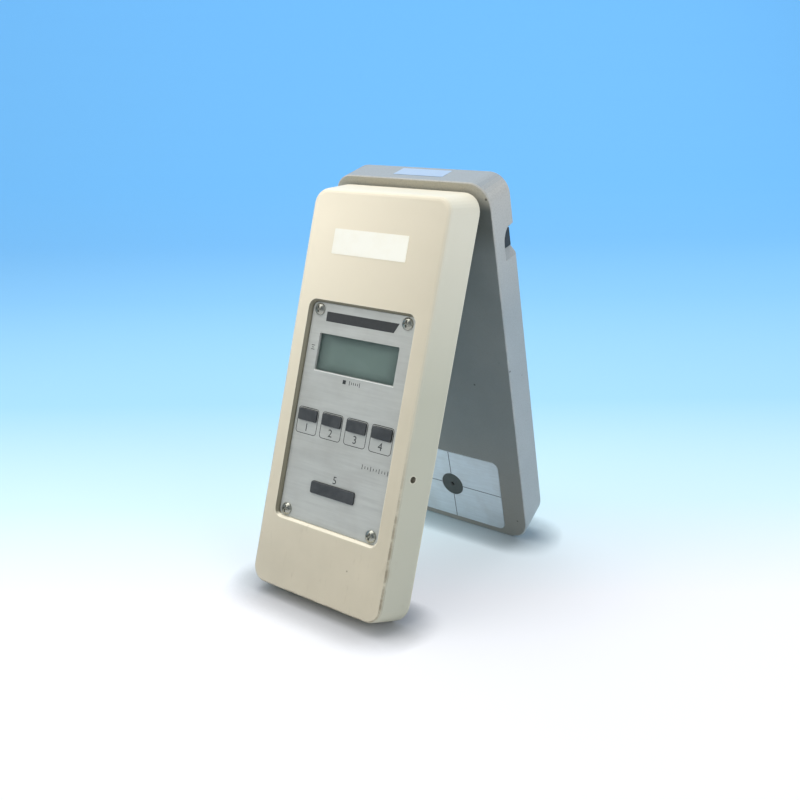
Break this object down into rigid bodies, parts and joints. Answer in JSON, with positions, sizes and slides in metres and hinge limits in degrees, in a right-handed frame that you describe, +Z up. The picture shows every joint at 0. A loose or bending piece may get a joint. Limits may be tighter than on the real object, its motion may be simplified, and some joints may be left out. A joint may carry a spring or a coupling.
{
  "type": "photographic densitometer",
  "caption": "Two hinged leaves that close on film: a head with a display, keys and light sensor, and a lit base with an aperture and a target plate.",
  "frame": {"origin": "on the surface it stands on, below the middle of the open instrument", "axes": "+Z up, +X to the right of a person who reads the display, -Y towards that person"},
  "size_m": [0.0828, 0.1262, 0.1803],
  "materials": {
    "base_paint": "fine textured grey paint on moulded plastic",
    "cream_plastic": "cream paint on moulded plastic, slightly yellowed",
    "zinc": "bright zinc",
    "pale_plate": "pale satin anodised plate",
    "dark_disc": "dark matte disc",
    "opal": "opal white",
    "black_plastic": "black moulded",
    "panel_ink": "printed ink",
    "clear_glass": "clear glass",
    "filter_glass": "yellow-green filter glass",
    "circuit_board": "green solder mask",
    "cell_sleeve": "sleeved steel cells",
    "label": "blank paper label",
    "satin_panel": "satin aluminium",
    "clear_plastic": "clear window",
    "display": "grey-green display glass",
    "rubber_strip": "striped conductive rubber",
    "trimmer_blue": "blue moulded",
    "brass_screw": "brass",
    "key_charcoal": "charcoal moulded"
  },
  "bodies": {
    "root": {"base_housing": "base_paint", "base_bottom_cover": "base_paint", "base_cover_screws": "zinc", "target_plate": "pale_plate", "aperture_disc": "dark_disc", "diffuser": "opal", "light_tube": "black_plastic", "condenser_lens": "clear_glass", "lamp_bulb": "clear_glass", "lamp_socket": "black_plastic", "lamp_board": "circuit_board", "battery_tray": "black_plastic", "battery_cells": "cell_sleeve", "battery_contacts": "zinc", "charge_board": "circuit_board", "charge_parts": "black_plastic", "charger_jack": "black_plastic", "hinge_bracket": "zinc", "bracket_screws": "zinc", "hinge_pin": "zinc", "hinge_clips": "zinc", "hinge_springs": "zinc", "service_label": "label"},
    "head": {"head_housing": "cream_plastic", "head_inner_cover": "base_paint", "head_cover_screws": "zinc", "control_panel": "satin_panel", "panel_screws": "zinc", "display_window": "clear_plastic", "display_glass": "display", "display_frame": "black_plastic", "display_connectors": "rubber_strip", "main_board": "circuit_board", "board_screws": "zinc", "meter_chips": "black_plastic", "key_switches": "black_plastic", "read_switch": "black_plastic", "sensor_nose": "black_plastic", "sensor_lens": "clear_glass", "colour_filter": "filter_glass", "photodiode": "zinc", "sensor_board": "circuit_board", "trimmer_body": "trimmer_blue", "name_label": "label"},
    "off_key": {"off_key": "key_charcoal"},
    "density_key": {"density_key": "key_charcoal"},
    "dot_key": {"dot_key": "key_charcoal"},
    "null_key": {"null_key": "key_charcoal"},
    "read_bar": {"read_bar": "key_charcoal"},
    "trimmer_screw": {"trimmer_screw": "brass_screw"}
  },
  "joints": [
    {"name": "head_hinge", "type": "hinge", "parent": "root", "child": "head", "pos_m": [0, 0.00027, 0.16769], "axis": [1, 0, 0], "range_deg": [0, 31], "stiffness_Nm_per_rad": 0.12, "springref_deg": -80.21},
    {"name": "off_key_press", "type": "slide", "parent": "head", "child": "off_key", "axis": [0, 0.9519, -0.3065], "range_m": [0, 0.0008], "stiffness_N_per_m": 500, "springref_m": -0.0004},
    {"name": "density_key_press", "type": "slide", "parent": "head", "child": "density_key", "axis": [0, 0.9519, -0.3065], "range_m": [0, 0.0008], "stiffness_N_per_m": 500, "springref_m": -0.0004},
    {"name": "dot_key_press", "type": "slide", "parent": "head", "child": "dot_key", "axis": [0, 0.9519, -0.3065], "range_m": [0, 0.0008], "stiffness_N_per_m": 500, "springref_m": -0.0004},
    {"name": "null_key_press", "type": "slide", "parent": "head", "child": "null_key", "axis": [0, 0.9519, -0.3065], "range_m": [0, 0.0008], "stiffness_N_per_m": 500, "springref_m": -0.0004},
    {"name": "read_bar_press", "type": "slide", "parent": "head", "child": "read_bar", "axis": [0, 0.9519, -0.3065], "range_m": [0, 0.0008], "stiffness_N_per_m": 500, "springref_m": -0.0004},
    {"name": "trimmer_turn", "type": "hinge", "parent": "head", "child": "trimmer_screw", "pos_m": [0.03, -0.03917, 0.06284], "axis": [1, 0, 0], "range_deg": [-135, 135]}
  ]
}
